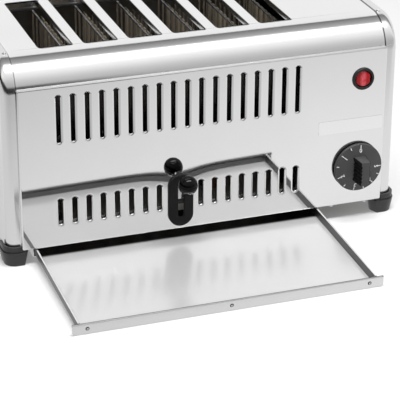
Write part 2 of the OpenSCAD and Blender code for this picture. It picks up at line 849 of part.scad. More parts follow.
module crumb_tray() {
    front = tray_front_t - tray_out;
    start = 2 * tray_roll + rest_gap - tray_out;
    low = -tray_wall_h;
    half = tray_w / 2;
    inner = half - tray_hem;
    color("gainsboro") on_slope() {
        translate([-inner - sheet, front, low])
            cube([2 * (inner + sheet), tray_back - front, sheet]);
        for (s = [0, 1]) mirror([s, 0, 0]) {
            translate([inner, start, low]) cube([sheet, tray_back - start, tray_wall_h]);
            translate([inner, start, -tray_hem_h]) cube([tray_hem, tray_back - start, tray_hem_h]);
        }
        translate([-inner - sheet, front, low])
            cube([2 * (inner + sheet), sheet, tray_wall_h - 2 * tray_roll - rest_gap]);
        translate([-inner - sheet, tray_back - sheet, low])
            cube([2 * (inner + sheet), sheet, tray_wall_h]);
    }
}

module tray_front() {
    half = tray_w / 2 + tray_front_over;
    cut = 2.5;
    low = -tray_front_h;
    color("gainsboro") on_slope() translate([0, -tray_out, 0]) {
        along_y(0, tray_front_t) polygon([[-half, -tray_roll], [-half, low + cut],
            [cut - half, low], [half - cut, low], [half, low + cut], [half, -tray_roll]]);
        along_x(-half, half) translate([tray_roll, -tray_roll]) circle(tray_roll);
    }
}

module tray_rivets() {
    grip = tray_front_t + sheet + rivet_head;
    across = tray_w / 2 + tray_front_over - rivet_in;
    color("gray") on_slope() for (k = [-1, 0, 1])
        translate([k * across, -tray_out, -tray_front_h / 2]) rotate([90, 0, 0]) {
            cylinder(d = rivet_d, h = rivet_head);
            translate([0, 0, -grip]) cylinder(d = rivet_d / 2, h = grip + rivet_head / 2);
        }
}

placed() base_plate();
placed() front_panel();
placed() rear_panel();
placed() top_cover();
placed() left_end_cap();
placed() right_end_cap();
placed() front_left_foot();
placed() front_right_foot();
placed() rear_left_foot();
placed() rear_right_foot();
placed() lever_plate();
placed() left_chamber_wall();
placed() right_chamber_wall();
placed() front_chamber_wall();
placed() rear_chamber_wall();
for (i = cards) placed() heating_card(i);
for (i = slots) placed() bread_guard(i);
placed() left_tray_runner();
placed() right_tray_runner();
placed() left_guide_rod();
placed() right_guide_rod();
placed() left_spring();
placed() right_spring();
placed() hold_magnet();
placed() timer_case();
placed() switch_housing();
placed() terminal_block();
placed() cable_gland();
placed() gland_nut();
placed() panel_screws();
placed() cap_screws();
placed() lever_arm();
placed() ball_knob();
placed() carriage_plate();
placed() armature();
for (i = slots) placed() bread_rack(i);
placed() timer_shaft();
placed() timer_dial();
placed() switch_rocker();
placed() crumb_tray();
placed() tray_front();
placed() tray_rivets();
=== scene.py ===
import json
import math
import bmesh
import bpy
from mathutils import Matrix, Vector


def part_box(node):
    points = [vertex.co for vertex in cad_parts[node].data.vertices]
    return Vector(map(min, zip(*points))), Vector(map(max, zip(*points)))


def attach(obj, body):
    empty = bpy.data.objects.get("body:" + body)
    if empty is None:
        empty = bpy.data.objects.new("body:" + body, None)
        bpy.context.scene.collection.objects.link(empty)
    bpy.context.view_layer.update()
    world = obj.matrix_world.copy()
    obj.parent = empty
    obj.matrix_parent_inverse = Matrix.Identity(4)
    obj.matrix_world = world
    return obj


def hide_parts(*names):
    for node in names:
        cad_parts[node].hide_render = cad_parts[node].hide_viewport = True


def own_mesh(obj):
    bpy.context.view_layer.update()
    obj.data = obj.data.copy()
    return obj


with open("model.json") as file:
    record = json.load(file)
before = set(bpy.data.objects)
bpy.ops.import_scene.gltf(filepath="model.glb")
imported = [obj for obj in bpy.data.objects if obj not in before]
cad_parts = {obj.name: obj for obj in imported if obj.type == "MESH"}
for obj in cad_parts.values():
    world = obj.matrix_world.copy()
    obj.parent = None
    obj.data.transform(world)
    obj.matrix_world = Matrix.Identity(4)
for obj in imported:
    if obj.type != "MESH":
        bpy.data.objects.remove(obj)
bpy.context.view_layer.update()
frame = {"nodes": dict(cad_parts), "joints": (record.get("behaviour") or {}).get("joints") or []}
scene = bpy.context.scene
scene.view_settings.view_transform = "Standard"
mm = 0.001
degree = 180.0 / math.pi

# camera, as the photograph was taken: a long lens from the front left
view = {
    "at": (-0.59718, -1.71656, 0.88356),
    "turn": (64.796, -0.3375, -19.1914),
    "lens": 170.63,
    "sensor": 36,
}
camera = bpy.data.objects.new("camera", bpy.data.cameras.new("camera"))
camera.location = view["at"]
camera.rotation_euler = [math.radians(a) for a in view["turn"]]
camera.data.lens = view["lens"]
camera.data.sensor_width = view["sensor"]
scene.collection.objects.link(camera)
scene.camera = camera


# a shader socket that takes part in Python expressions
class Wire:
    def __init__(self, tree, socket=None):
        self.tree = tree
        self.socket = socket

    def make(self, kind, settings=None, sockets=None, out=0):
        node = self.tree.nodes.new(kind)
        for key, value in (settings or {}).items():
            if key == "stops":
                setStops(node.color_ramp, value)
            else:
                setattr(node, key, value)
        for key, value in (sockets or {}).items():
            if isinstance(value, Wire):
                self.tree.links.new(value.socket, node.inputs[key])
            else:
                node.inputs[key].default_value = value
        return Wire(self.tree, node.outputs[out])

    def calc(self, operation, first, second=0.0):
        return self.make("ShaderNodeMath", {"operation": operation}, {0: first, 1: second})

    def __add__(self, other):
        return self.calc("ADD", self, other)

    def __radd__(self, other):
        return self.calc("ADD", other, self)

    def __sub__(self, other):
        return self.calc("SUBTRACT", self, other)

    def __rsub__(self, other):
        return self.calc("SUBTRACT", other, self)

    def __mul__(self, other):
        return self.calc("MULTIPLY", self, other)

    def __truediv__(self, other):
        return self.calc("DIVIDE", self, other)

    def __abs__(self):
        return self.calc("ABSOLUTE", self)

    # 0 below low, 1 above high, smooth between them
    def step(self, low, high):
        return self.make("ShaderNodeMapRange", {"interpolation_type": "SMOOTHSTEP"},
                         {"Value": self, "From Min": low, "From Max": high})

    # 1 between two edges, smooth at both
    def band(self, lowFrom, lowTo, highFrom, highTo):
        return self.step(lowFrom, lowTo) * (1.0 - self.step(highFrom, highTo))

    # a colour between two, by this value
    def between(self, dark, light):
        return self.make("ShaderNodeMix", {"data_type": "RGBA"}, {0: self, 6: dark, 7: light}, out=2)

    def noise(self, stretch, detail=2.0):
        place = self.make("ShaderNodeMapping", {}, {"Vector": self, "Scale": stretch})
        return self.make("ShaderNodeTexNoise", {}, {"Vector": place, "Scale": 1.0, "Detail": detail})

    def distance(self, point):
        return self.make("ShaderNodeVectorMath", {"operation": "DISTANCE"}, {0: self, 1: point}, out="Value")

    def axis(self, name):
        return self.make("ShaderNodeSeparateXYZ", {}, {0: self}, out=name)


def setStops(ramp, stops):
    while len(ramp.elements) < len(stops):
        ramp.elements.new(1.0)
    for element, (place, tone) in zip(ramp.elements, stops):
        element.position = place
        element.color = grey(tone)


# studio: white room with a grey strip over the back, a dark corner by the camera and a softbox overhead
studio = {
    "room": [(0.0, 0.8), (0.32, 0.8), (0.326, 0.08), (0.352, 0.16), (0.385, 0.235), (0.44, 0.3), (0.49, 0.34),
             (0.525, 0.97), (0.578, 0.97), (0.667, 0.9), (0.756, 0.765), (0.817, 0.63), (0.861, 0.54),
             (0.922, 0.46), (1.0, 0.42)],  # from the back over the top to the front, as a share of half a turn
    "roomLevel": 1.32,
    "darkTone": 0.03,
    "darkEdge": 15.4,  # angles of the dark corner are in degrees
    "darkSoft": 1.0,
    "darkLean": 0.155,
    "darkHigh": (9.0, 7.0),  # its height, and what the left side adds
    "darkFade": (0.8, 1.3),
    "leftSide": (-150.0, -110.0, -60.0, -20.0),
    "overhead": (0.06, 0.75),
    "softbox": {"at": (0.1, -0.45, 1.75), "wide": 1.5, "deep": 0.4, "power": 36.0, "tilt": 15.0},
    "floorHalf": 8.0,
    "floorTone": 0.82,
    "floorRough": 0.9,
    "whiten": 0.3,
    "whitenFrom": (0.08, 0.3),
    "mirrorShare": 0.7,
    "mirrorTone": (0.82, 1.14),
    "mirrorAcross": (-0.35, 0.45),
    "mirrorFade": (0.0, 0.7, 0.45),
    "tableFront": (0.75, 1.1),
    "seamX": 0.11,
}


# 1 on the dark corner's side of its edge
def darkSide(angle):
    edge, soft = studio["darkEdge"], studio["darkSoft"]
    return 1.0 - angle.step(edge - soft, edge + soft)


def makeStudio():
    world = bpy.data.worlds.new("studio")
    scene.world = world
    world.use_nodes = True
    tree = world.node_tree
    start = Wire(tree)
    aim = start.make("ShaderNodeTexCoord", out="Generated")
    x, y, z = (aim.axis(name) for name in "XYZ")
    lift = start.calc("ARCTAN2", z, y) / math.pi
    room = lift.make("ShaderNodeValToRGB", {"stops": studio["room"]}, {0: lift})
    room = room.make("ShaderNodeVectorMath", {"operation": "SCALE"}, {0: room, "Scale": studio["roomLevel"]})
    side = start.calc("ARCTAN2", x, 0.0 - y) * degree
    height = start.calc("ARCSINE", z) * degree
    lean = side + height * studio["darkLean"]
    low, more = studio["darkHigh"]
    limit = side.band(*studio["leftSide"]) * more + low
    dark = darkSide(lean) * (1.0 - (height / limit).step(*studio["darkFade"]))
    room = dark.between(room, grey(studio["darkTone"]))
    path = start.make("ShaderNodeLightPath", out="Is Camera Ray")
    mirrored = Wire(tree, path.socket.node.outputs["Is Glossy Ray"])
    base, top = studio["overhead"]
    sky = (z * z * top + base).between(grey(0.0), grey(1.0))
    sky = path.between(sky, grey(1.0))
    room = mirrored.between(sky, room)
    tree.links.new(room.socket, tree.nodes["Background"].inputs["Color"])

    box = studio["softbox"]
    light = bpy.data.lights.new("softbox", "AREA")
    light.shape = "RECTANGLE"
    light.size = box["wide"]
    light.size_y = box["deep"]
    light.energy = box["power"]
    lampAndHighlight = bpy.data.objects.new("softbox", light)
    lampAndHighlight.location = box["at"]
    lampAndHighlight.rotation_euler = (math.radians(box["tilt"]), 0, 0)
    scene.collection.objects.link(lampAndHighlight)

    bm = bmesh.new()
    bmesh.ops.create_grid(bm, x_segments=1, y_segments=1, size=studio["floorHalf"])
    mesh = bpy.data.meshes.new("floor")
    bm.to_mesh(mesh)
    bm.free()
    floor = bpy.data.objects.new("floor", mesh)
    scene.collection.objects.link(floor)
    mesh.materials.append(floorFinish())


def floorFinish():
    material = bpy.data.materials.new("white_table")
    material.use_nodes = True
    tree = material.node_tree
    shader = tree.nodes["Principled BSDF"]
    shader.inputs["Base Color"].default_value = grey(studio["floorTone"])
    shader.inputs["Roughness"].default_value = studio["floorRough"]
    shader.inputs["Specular IOR Level"].default_value = 0.0
    start = Wire(tree)
    place = start.make("ShaderNodeTexCoord", out="Object")
    path = start.make("ShaderNodeLightPath", out="Is Camera Ray")
    glossy = Wire(tree, path.socket.node.outputs["Is Glossy Ray"])
    through = Wire(tree, path.socket.node.outputs["Is Transmission Ray"])
    ahead = 0.0 - place.axis("Y")
    side = start.calc("ARCTAN2", place.axis("X") + studio["seamX"], ahead) * degree
    far = ahead.step(*studio["tableFront"]) * darkSide(side)
    near, distant, loss = studio["mirrorFade"]
    dim, lit = studio["mirrorTone"]
    fade = 1.0 - (ahead + faceY).step(near, distant) * loss
    tone = (place.axis("X").step(*studio["mirrorAcross"]) * (lit - dim) + dim) * fade
    tone = tone.between(grey(0.0), grey(1.0))
    glow = glossy.between(grey(1.0), far.between(tone, grey(studio["darkTone"])))
    glow = start.make("ShaderNodeEmission", {}, {"Color": glow, "Strength": 1.0})
    clear = place.distance(middle("base_plate")).step(*studio["whitenFrom"])
    seen = (path + through) * clear * studio["whiten"]
    mirrored = glossy * (studio["mirrorShare"] + far * (1 - studio["mirrorShare"]))
    both = start.make("ShaderNodeMixShader", {}, {0: seen + mirrored, 1: Wire(tree, shader.outputs[0]), 2: glow})
    tree.links.new(both.socket, tree.nodes["Material Output"].inputs["Surface"])
    return material


# a finish: sockets that are fixed, and a function that gives the ones that vary
def newFinish(name, fixed, paint):
    material = bpy.data.materials.new(name)
    material.use_nodes = True
    tree = material.node_tree
    shader = tree.nodes["Principled BSDF"]
    for key, value in fixed.items():
        shader.inputs[key].default_value = value
    place = Wire(tree).make("ShaderNodeTexCoord", out="Object")
    for key, wire in paint(place).items():
        tree.links.new(wire.socket, shader.inputs[key])
    return material


def grey(tone):
    return (tone, tone, tone, 1.0)


def bumped(height):
    return height.make("ShaderNodeBump", {}, {"Height": height, "Strength": 1.0, "Distance": 1.0})


# painted shade on the panel's vents and on the tray under the casing, and the cover's darker joints: its tone,
# and reaches in millimetres from the end caps and the panel's face
shadeAndJoints = {"tone": 0.015, "seam": (0.3, 1.5), "seamShare": 0.85, "heatTintAndShade": (-3, 2)}


# rolled steel with its grain along X; sag is how far the sheet wanders from flat, and more(place) gives
# a further height, or None, and a darkening from 0 to 1
def steelSheet(name, tone, rough, grain, sag=0.0, metal=1.0, more=None):
    def paint(place):
        streaks = place.noise((4, 620, 620), 3.0)
        smudge = place.noise((14, 14, 14), 4.0)
        spread = rough * 0.3
        height = streaks * grain + place.noise((6, 9, 9), 0.0) * sag
        colour = smudge.between(grey(tone * 0.96), grey(tone * 1.03))
        if more:
            extra, shade = more(place)
            if extra:
                height = height + extra
            # more() gives painted shade on the panel and the tray, and the darker joints on the cover
            colour = shade.between(colour, grey(shadeAndJoints["tone"]))
        return {"Base Color": colour,
                "Roughness": rough + streaks * spread + smudge * spread,
                "Normal": bumped(height)}
    return newFinish(name, {"Metallic": metal}, paint)


# the panel swells round the lever and is a little twisted; painted shade darkens the vents' right sides and their
# lips
def panelShape(place):
    wave = panelWave
    away = place.distance((rowX, faceY, plateAt.z)) / wave["reach"]
    swell = place.calc("POWER", math.e, 0.0 - away * away) * wave["high"]
    x, z = place.axis("X"), place.axis("Z")
    twist = (x - wave["level"]) * (z - plateAt.z) * wave["twist"]
    fromMiddle = abs(x - rowX)
    turn = (x - rowX) / (panel["ventPitch"] * mm)
    off = (place.calc("FRACT", turn) - 0.5) * panel["ventPitch"]
    beside = off.band(*wave["beside"]) * (1.0 - fromMiddle.step(*wave["besideEnd"]))
    upperTop = panelHigh.z - panel["upperDrop"] * mm
    upperFoot = upperTop - panel["upperHigh"] * mm
    lowerTop = panelLow.z + (panel["lowerRise"] + panel["lowerHigh"]) * mm
    upper = z.band(upperFoot - mm, upperFoot + mm, upperTop - mm, upperTop + mm)
    depth = (place.axis("Y") - faceY) / mm
    within = (1.0 - fromMiddle.step(*wave["lipEnd"])) * (1.0 - depth.step(*wave["lipReach"]))
    tops = sum((z.band(*(top + d * mm for d in wave["topBand"])) for top in (upperTop, lowerTop)), 0.0)
    row = wave["lowerShare"] + z.step(*wave["rowSplit"]) * (1.0 - wave["lowerShare"])
    lips = tops * depth.step(*wave["topLip"]) + (1.0 - tops) * depth.step(*wave["otherLip"]) * row
    # painted shade beside the upper vents' right sides and on the lips inside the vents
    shade = place.calc("MAXIMUM", beside * upper * wave["shade"], lips * within * wave["lipShade"])
    return swell + twist, shade


# the cover is darker along its joints with the end caps
def coverSeam(place):
    x = place.axis("X")
    inward = place.calc("MINIMUM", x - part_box("left_end_cap")[1].x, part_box("right_end_cap")[0].x - x)
    return None, (1.0 - inward.step(*(d * mm for d in shadeAndJoints["seam"]))) * shadeAndJoints["seamShare"]


# painted shade: the tray is darkened from the panel's face backwards, the part that lies under the casing at rest
def trayShadeUnderCasing(place):
    return None, place.axis("Y").step(*(faceY + d * mm for d in shadeAndJoints["heatTintAndShade"]))


# steel that heat has dulled and tinted, and kept very dark as painted shade inside the casing
def innerSteel():
    def paint(place):
        heatTintAndShade = place.noise((18, 18, 11), 3.0)
        specks = place.noise((240, 240, 240), 2.0)
        return {"Base Color": heatTintAndShade.step(0.35, 0.7).between((0.15, 0.147, 0.14, 1), (0.085, 0.072, 0.06, 1)),
                "Roughness": 0.36 + specks * 0.2,
                "Normal": bumped(specks * 3e-5)}
    return newFinish("inner_steel", {"Metallic": 1.0}, paint)


def brightSteel():
    def paint(place):
        lines = place.noise((500, 500, 60), 2.0)
        return {"Base Color": lines.between(grey(0.62), grey(0.76)),
                "Roughness": 0.16 + lines * 0.16,
                "Normal": bumped(lines * 1.5e-5)}
    return newFinish("bright_steel", {"Metallic": 1.0}, paint)


# moulded plastic with a fine spark-eroded grain
def plastic(name, dark, light, rough, gloss=0.5, grain=1e-5):
    def paint(place):
        cloud = place.noise((60, 60, 60), 3.0)
        pits = place.noise((1500, 1500, 1500), 1.0)
        return {"Base Color": cloud.between(dark, light),
                "Roughness": rough + cloud * 0.1,
                "Normal": bumped(pits * grain)}
    return newFinish(name, {"Specular IOR Level": gloss}, paint)


# mica card with the heating ribbon wound up and down it
def micaCard(ribbonPitch, firstRibbon):
    def paint(place):
        flakes = place.noise((90, 90, 90), 4.0)
        turn = (place.axis("Y") - firstRibbon) / ribbonPitch
        off = abs(place.calc("FRACT", turn + 0.5) - 0.5)
        ribbon = 1.0 - off.step(0.1, 0.13)
        ground = flakes.between((0.36, 0.29, 0.2, 1), (0.62, 0.55, 0.43, 1))
        return {"Base Color": ribbon.between(ground, (0.34, 0.33, 0.32, 1)),
                "Metallic": ribbon * 0.9,
                "Roughness": 0.55 - ribbon * 0.2,
                "Normal": bumped(ribbon * 1e-4 + flakes * 4e-5)}
    return newFinish("mica", {}, paint)


def coilWinding():
    def paint(place):
        turn = place.calc("SINE", place.axis("X") * (2 * math.pi / (0.8 * mm)))
        return {"Base Color": (turn * 0.5 + 0.5).between((0.03, 0.012, 0.006, 1), (0.1, 0.042, 0.02, 1)),
                "Roughness": 0.35 - turn * 0.05,
                "Normal": bumped(turn * 1e-4)}
    return newFinish("coil", {"Metallic": 0.6}, paint)


# rocker of the lighted kind, not glowing here: deep red under a clear skin, with a painted highlight as a paler
# stripe down its middle
def redLens():
    def paint(place):
        depth = place.noise((320, 320, 240), 2.0)
        off = abs(place.axis("X") - switchAt.x)
        # painted highlight: paler down the middle of the rocker
        lampAndHighlight = (1.0 - off.step(0.6 * mm, 4.2 * mm)) * (depth.step(0.3, 0.6) * 0.6 + 0.4)
        return {"Base Color": lampAndHighlight.between((0.38, 0.002, 0.006, 1), (0.85, 0.12, 0.15, 1)),
                "Roughness": 0.12 + depth * 0.12,
                "Normal": bumped(depth * 6e-5)}
    return newFinish("red_lens", {"Specular IOR Level": 0.2, "Coat Weight": 0.15, "Coat Roughness": 0.06}, paint)


# mesh helpers; pieces are drawn in millimetres and then placed in the frame. A ring is a rectangle with
# round corners, or a plain one if they have one step each
def ring(bm, wide, high, corner, depth=0.0, at=(0.0, 0.0), steps=4):
    turn = math.pi / (4 * steps)
    verts = bmesh.ops.create_circle(bm, segments=4 * steps, radius=corner / math.cos(turn))["verts"]
    bmesh.ops.rotate(bm, verts=verts, matrix=Matrix.Rotation(turn, 3, "Z"))
    for v in verts:
        v.co.x += math.copysign(wide / 2 - corner, v.co.x) + at[0]
        v.co.y += math.copysign(high / 2 - corner, v.co.y) + at[1]
        v.co.z += depth
    return list(dict.fromkeys(e for v in verts for e in v.link_edges))


# extrudes edges by a vector and returns the new ones
def pull(bm, edges, by=(0, 0, 0)):
    made = bmesh.ops.extrude_edge_only(bm, edges=edges)["geom"]
    verts = [g for g in made if isinstance(g, bmesh.types.BMVert)]
    bmesh.ops.translate(bm, verts=verts, vec=by)
    moved = set(verts)
    return [g for g in made if isinstance(g, bmesh.types.BMEdge) and moved.issuperset(g.verts)]


# rings of one outline, each (grow, depth), drawn out of one another; gives the first and the last
def sweep(bm, wide, high, corner, stages, at=(0.0, 0.0), steps=4):
    grow, depth = stages[0]
    first = edges = ring(bm, wide + 2 * grow, high + 2 * grow, corner + grow, depth, at, steps)
    for (before, _), (grow, depth) in zip(stages, stages[1:]):
        edges = pull(bm, edges)
        for v in {v for e in edges for v in e.verts}:
            x = at[0] + math.copysign(wide / 2 - corner, v.co.x - at[0])
            y = at[1] + math.copysign(high / 2 - corner, v.co.y - at[1])
            scale = (corner + grow) / (corner + before)
            v.co = (x + (v.co.x - x) * scale, y + (v.co.y - y) * scale, depth)
    return first, edges


# an edge that rolls back from a flat sheet: side 1 round a hole, -1 round the outside
def rolledEdge(bm, wide, high, corner, bend, deep, side, at=(0.0, 0.0), margin=0.5, steps=4, parts=4):
    turns = [math.pi / 2 * k / parts for k in range(parts + 1)]
    stages = [(bend + margin, 0.0)] + [(bend * (1 - math.sin(t)), -bend * (1 - math.cos(t))) for t in turns]
    stages.append((0.0, -deep))
    return sweep(bm, wide, high, corner, [(side * grow, depth) for grow, depth in stages], at, steps)[0]


def fillFlat(bm, edges):
    bmesh.ops.triangle_fill(bm, use_beauty=True, edges=edges, normal=(0, 0, 1))


def lathe(profile, steps=32):
    bm = bmesh.new()
    verts = [bm.verts.new((r, 0, z)) for r, z in profile]
    edges = [bm.edges.new(pair) for pair in zip(verts, verts[1:])]
    bmesh.ops.spin(bm, geom=verts + edges, cent=(0, 0, 0), axis=(0, 0, 1), angle=2 * math.pi,
                   steps=steps, use_merge=True)
    return bm


# moves a part's mesh by a matrix and adds it to another
def join(bm, part, spot):
    part.transform(spot)
    mesh = bpy.data.meshes.new("part")
    part.to_mesh(mesh)
    part.free()
    bm.from_mesh(mesh)
    bpy.data.meshes.remove(mesh)


# second is a finish for some faces, and the test that picks them
def newPiece(name, bm, spot, finish, body, nodes=(), facing=None, thick=0.0, sharp=35, second=None):
    bm.transform(spot)
    bmesh.ops.remove_doubles(bm, verts=bm.verts, dist=0.002 * mm)
    bmesh.ops.recalc_face_normals(bm, faces=bm.faces)
    if facing:
        total = sum((f.normal * f.calc_area() for f in bm.faces), Vector())
        if total.dot(Vector(facing)) < 0:
            bmesh.ops.reverse_faces(bm, faces=bm.faces)
    if second:
        for f in bm.faces:
            f.material_index = int(second[1](f))
    bm.edges.index_update()
    rim = [e.index for e in bm.edges if e.is_boundary]
    mesh = bpy.data.meshes.new(name)
    bm.to_mesh(mesh)
    bm.free()
    mesh.materials.append(finish)
    if second:
        mesh.materials.append(second[0])
    mesh.shade_smooth()
    mesh.set_sharp_from_angle(angle=math.radians(sharp))
    for index in rim:
        mesh.edges[index].use_edge_sharp = True
    piece = bpy.data.objects.new(name, mesh)
    scene.collection.objects.link(piece)
    if thick:
        wall = piece.modifiers.new("wall", "SOLIDIFY")
        wall.thickness = thick * mm
        wall.offset = -1
    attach(piece, body)
    if nodes:
        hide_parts(*nodes)
    return piece


# places a piece whose own +Z points out of the front or the rear
def onFront(y, x=0.0, z=0.0):
    return Matrix.Translation((x, y, z)) @ Matrix.Rotation(math.pi / 2, 4, "X") @ Matrix.Scale(mm, 4)


def onRear(y, x=0.0, z=0.0):
    spin = Matrix.Rotation(math.pi, 4, "Z") @ Matrix.Rotation(math.pi / 2, 4, "X")
    return Matrix.Translation((x, y, z)) @ spin @ Matrix.Scale(mm, 4)


def middle(node):
    low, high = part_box(node)
    return (low + high) / 2


panelLow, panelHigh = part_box("front_panel")
rowX = middle("crumb_tray").x
dialAt = middle("timer_dial")
switchAt = middle("switch_rocker")
plateAt = middle("lever_plate")
faceY = panelLow.y
sheetWall = 0.9

# folded panels with lipped vents
panel = {
    "foldDeep": 5, "bend": 1.3, "corner": 2.2,
    "ventWide": {"upper": 3.5, "lower": 4.4}, "ventPitch": 15, "vents": 18, "lipBend": 2.2, "lipDeep": 3.4,
    "upperHigh": 50, "upperDrop": 10, "lowerHigh": 27.7, "lowerRise": 24,
    "leverHole": (10.6, 44.5), "shaftHole": 10.4, "switchHole": 20.4, "glandHole": 16.4,
    "holeBend": 0.2, "holeDeep": 0.9, "edgeBand": 2, "edgeFacing": 0.4,
}

makeStudio()
print("studio ready")

# bump and painted shade of the panel's sheet; the vents' own measures are in millimetres
panelWave = {
    "reach": 0.027, "high": 0.00062, "twist": 0.07, "level": -0.1, "shade": 0.22, "lipShade": 0.9,
    "beside": (1.2, 2.2, 3.6, 5.2), "besideEnd": (0.131, 0.1325), "lipEnd": (0.134, 0.136), "lipReach": (5, 6),
    "topBand": (-2, -1.2, 3, 3.5), "topLip": (0.02, 0.2), "otherLip": (0.35, 0.9),
    "lowerShare": 0.8, "rowSplit": (0.1, 0.11),
}
heater = {"ribbonPitch": 12, "firstRibbon": 70}
polishedSheet = steelSheet("polished_sheet", tone=0.72, rough=0.03, grain=1e-6, sag=3e-4, more=panelShape)
coverSheet = steelSheet("polished_cover", tone=0.78, rough=0.1, grain=4e-6, sag=2e-4, more=coverSeam)
drawnCap = steelSheet("drawn_cap", tone=0.68, rough=0.12, grain=1e-5, sag=3e-4)
traySheet = steelSheet("tray_sheet", tone=0.79, rough=0.16, grain=0.0, sag=3e-4, metal=0.5, more=trayShadeUnderCasing)
# painted shade: a dark copy of the tray's steel for its walls and for the back and roll of its front
trayShadedSide = steelSheet("tray_shaded_side", tone=0.15, rough=0.3, grain=2e-5)
frontPlateSheet = steelSheet("tray_front_sheet", tone=0.67, rough=0.16, grain=1e-5)
leverSteel = steelSheet("lever_steel", tone=0.45, rough=0.2, grain=1e-5)
labelFinish = steelSheet("blank_plate", tone=0.77, rough=0.07, grain=2e-6)
innerFinish = innerSteel()
brightFinish = brightSteel()
darkFinish = plastic("shadowed_steel", grey(0.012), grey(0.02), rough=0.6, gloss=0.1)
blackPlastic = plastic("black_plastic", grey(0.014), grey(0.02), rough=0.4, gloss=0.25)
dialPlastic = plastic("dial_black", grey(0.046), grey(0.058), rough=0.33, gloss=0.35)
# painted shade: a darker black for the grip's sides than for the dial
gripShadedSide = plastic("grip_painted_shade", grey(0.004), grey(0.007), rough=0.5, gloss=0.1)
plateBlack = plastic("lever_plate_black", grey(0.006), grey(0.01), rough=0.5, gloss=0.12)
blackGloss = plastic("black_gloss", grey(0.001), grey(0.002), rough=0.03, gloss=0.12, grain=5e-7)
footPlastic = plastic("foot_plastic", grey(0.022), grey(0.034), rough=0.32, gloss=0.4)
# painted shade: flat grey for the panels' top and bottom folds, in place of their bright steel
foldShadeFinish = plastic("painted_fold_shade", grey(0.3), grey(0.38), rough=0.4)
paleFinish = plastic("pale_plastic", (0.6, 0.57, 0.5, 1), (0.72, 0.69, 0.62, 1), rough=0.4, grain=6e-6)
markFinish = plastic("mark_white", grey(0.82), grey(0.9), rough=0.5, grain=2e-6)
micaFinish = micaCard(heater["ribbonPitch"] * mm, middle("heating_card_1").y - heater["firstRibbon"] * mm)
coilFinish = coilWinding()
lensFinish = redLens()
print("finishes ready")


def foldedPanel(name, spot, row, holes, gap, facing):
    bm = bmesh.new()
    low, high = panelLow.z / mm, panelHigh.z / mm
    wide = (panelHigh.x - panelLow.x) / mm
    edges = rolledEdge(bm, wide, high - low, panel["corner"], panel["bend"], panel["foldDeep"], -1,
                       at=(0, (low + high) / 2))
    for k in range(panel["vents"]):
        x = row + (k - (panel["vents"] - 1) / 2) * panel["ventPitch"]
        rows = [("upper", panel["upperHigh"], high - panel["upperDrop"] - panel["upperHigh"] / 2)]
        if abs(x - row) > gap:
            rows.append(("lower", panel["lowerHigh"], low + panel["lowerRise"] + panel["lowerHigh"] / 2))
        for kind, tall, z in rows:
            w = panel["ventWide"][kind]
            edges += rolledEdge(bm, w, tall, w / 2, panel["lipBend"], panel["lipDeep"], 1, at=(x, z))
    for x, z, holeWide, tall in holes:
        edges += rolledEdge(bm, holeWide, tall, holeWide / 2, panel["holeBend"], panel["holeDeep"], 1, at=(x, z),
                            steps=8, parts=1)
    fillFlat(bm, edges)

    def outerFold(f):
        margin = panel["edgeBand"]
        central = low + margin < f.calc_center_median().z / mm < high - margin
        return abs(f.normal.z) > panel["edgeFacing"] and not central
    # painted shade on the top and bottom folds
    newPiece(name, bm, spot, polishedSheet, "chassis", [name], facing, sheetWall,
             second=(foldShadeFinish, outerFold))


foldedPanel("front_panel", onFront(faceY), rowX / mm, [
    (rowX / mm, plateAt.z / mm, *panel["leverHole"]),
    (dialAt.x / mm, dialAt.z / mm, panel["shaftHole"], panel["shaftHole"]),
    (switchAt.x / mm, switchAt.z / mm, panel["switchHole"], panel["switchHole"]),
], panel["ventPitch"], (0, -1, 0))
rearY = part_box("rear_panel")[1].y
glandAt = middle("cable_gland")
foldedPanel("rear_panel", onRear(rearY), -rowX / mm, [
    (-glandAt.x / mm, glandAt.z / mm, panel["glandHole"], panel["glandHole"]),
], 0, (0, 1, 0))
print("panels ready")

# top cover with rolled long edges and six lipped slots
cover = {"edgeRadius": 34, "slotWide": 35, "slotLong": 140, "slotCorner": 5, "slotPitch": 47, "slots": 6,
         "lipBend": 1.6, "lipDeep": 6.5, "strip": 2, "arcSteps": 28}


def topCover():
    low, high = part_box("top_cover")
    wide, deep, tall = ((high - low) / mm)[:]
    bm = bmesh.new()
    r = cover["edgeRadius"]
    outer = ring(bm, wide, deep - 2 * (r + cover["strip"]), 1.0, steps=1)
    edges = list(outer)
    for k in range(cover["slots"]):
        x = rowX / mm + (k - (cover["slots"] - 1) / 2) * cover["slotPitch"]
        edges += rolledEdge(bm, cover["slotWide"], cover["slotLong"], cover["slotCorner"], cover["lipBend"],
                            cover["lipDeep"], 1, at=(x, 0), steps=6, parts=5)
    longEdges = [e for e in outer if abs(e.verts[0].co.y - e.verts[1].co.y) < 1e-4]
    for edge in longEdges:
        side = math.copysign(1, edge.verts[0].co.y)
        last = pull(bm, [edge], (0, side * cover["strip"], 0))
        hinge = (0, side * (deep / 2 - r), -r)
        turned = bmesh.ops.spin(bm, geom=last + list(last[0].verts), cent=hinge, axis=(1, 0, 0),
                                angle=-side * math.pi / 2, steps=cover["arcSteps"])["geom_last"]
        pull(bm, [g for g in turned if isinstance(g, bmesh.types.BMEdge)], (0, 0, r - tall))
    fillFlat(bm, edges)
    spot = Matrix.Translation(((low.x + high.x) / 2, (low.y + high.y) / 2, high.z)) @ Matrix.Scale(mm, 4)
    newPiece("top_cover", bm, spot, coverSheet, "chassis", ["top_cover"], (0, 0, 1), sheetWall)


topCover()
print("cover ready")

# drawn end caps: the casing's outline, taken in round the draw radius and closed
cap = {"edgeRadius": 35, "drawRadius": 9, "drawSteps": 9, "cornerSteps": 14, "flatMargin": 1.5}


